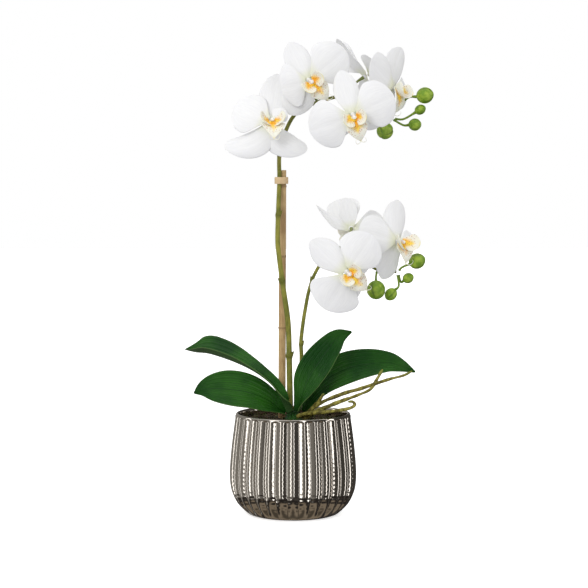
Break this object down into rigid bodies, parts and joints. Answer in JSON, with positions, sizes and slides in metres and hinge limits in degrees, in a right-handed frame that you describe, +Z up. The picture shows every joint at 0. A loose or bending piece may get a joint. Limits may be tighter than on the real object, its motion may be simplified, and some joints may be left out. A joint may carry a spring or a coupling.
{
  "type": "potted orchid",
  "caption": "Moth orchid with white flowers and green buds on arching spikes, broad leaves, a bamboo stake and aerial roots, in a fluted glazed pot.",
  "frame": {"origin": "middle of the pot's flat underside", "axes": "+Z up along the pot's axis; the plant faces -Y, and its flower spikes arch towards +X"},
  "size_m": [0.2561, 0.1395, 0.4895],
  "materials": {
    "pot": "mirror-bright silver-grey metallic glaze on fluted ceramic",
    "bark": "rough dark bark chips with a little moss",
    "leaf": "waxy deep green leaf, satin to glossy, with fine lengthwise ridges",
    "stem": "smooth olive green stem",
    "bud": "smooth satin green bud with seams",
    "root": "matt brown-green aerial root",
    "sepal": "soft matt white, with faint veins",
    "petal": "soft matt white, with faint veins",
    "lip": "cream white with an orange-yellow throat and fine red-brown specks",
    "bamboo": "satin split bamboo",
    "clip": "satin beige plastic"
  },
  "bodies": {
    "root": {"pot": "pot", "potting_bark": "bark", "crown": "leaf", "leaf_upper_left": "leaf", "leaf_lower_left": "leaf", "leaf_upright": "leaf", "leaf_right": "leaf", "stake": "bamboo", "stake_clip": "clip", "spike_tall": "stem", "spike_short": "stem", "bud_high_tip": "bud", "bud_high_outer": "bud", "bud_high_inner": "bud", "bud_high_low": "bud", "bud_low_big": "bud", "bud_low_left": "bud", "bud_low_right": "bud", "bud_low_high": "bud", "root_front": "root", "root_long": "root", "root_middle": "root", "root_short": "root", "flower_a_sepals": "sepal", "flower_a_petal_left": "petal", "flower_a_petal_right": "petal", "flower_a_lip": "lip", "flower_b_sepals": "sepal", "flower_b_petal_left": "petal", "flower_b_petal_right": "petal", "flower_b_lip": "lip", "flower_c_sepals": "sepal", "flower_c_petal_left": "petal", "flower_c_petal_right": "petal", "flower_c_lip": "lip", "flower_d_sepals": "sepal", "flower_d_petal_left": "petal", "flower_d_petal_right": "petal", "flower_d_lip": "lip", "flower_e_sepals": "sepal", "flower_e_petal_left": "petal", "flower_e_petal_right": "petal", "flower_e_lip": "lip", "flower_f_sepals": "sepal", "flower_f_petal_left": "petal", "flower_f_petal_right": "petal", "flower_f_lip": "lip", "flower_g_sepals": "sepal", "flower_g_petal_left": "petal", "flower_g_petal_right": "petal", "flower_g_lip": "lip", "flower_h_sepals": "sepal", "flower_h_petal_left": "petal", "flower_h_petal_right": "petal", "flower_h_lip": "lip"}
  },
  "joints": []
}
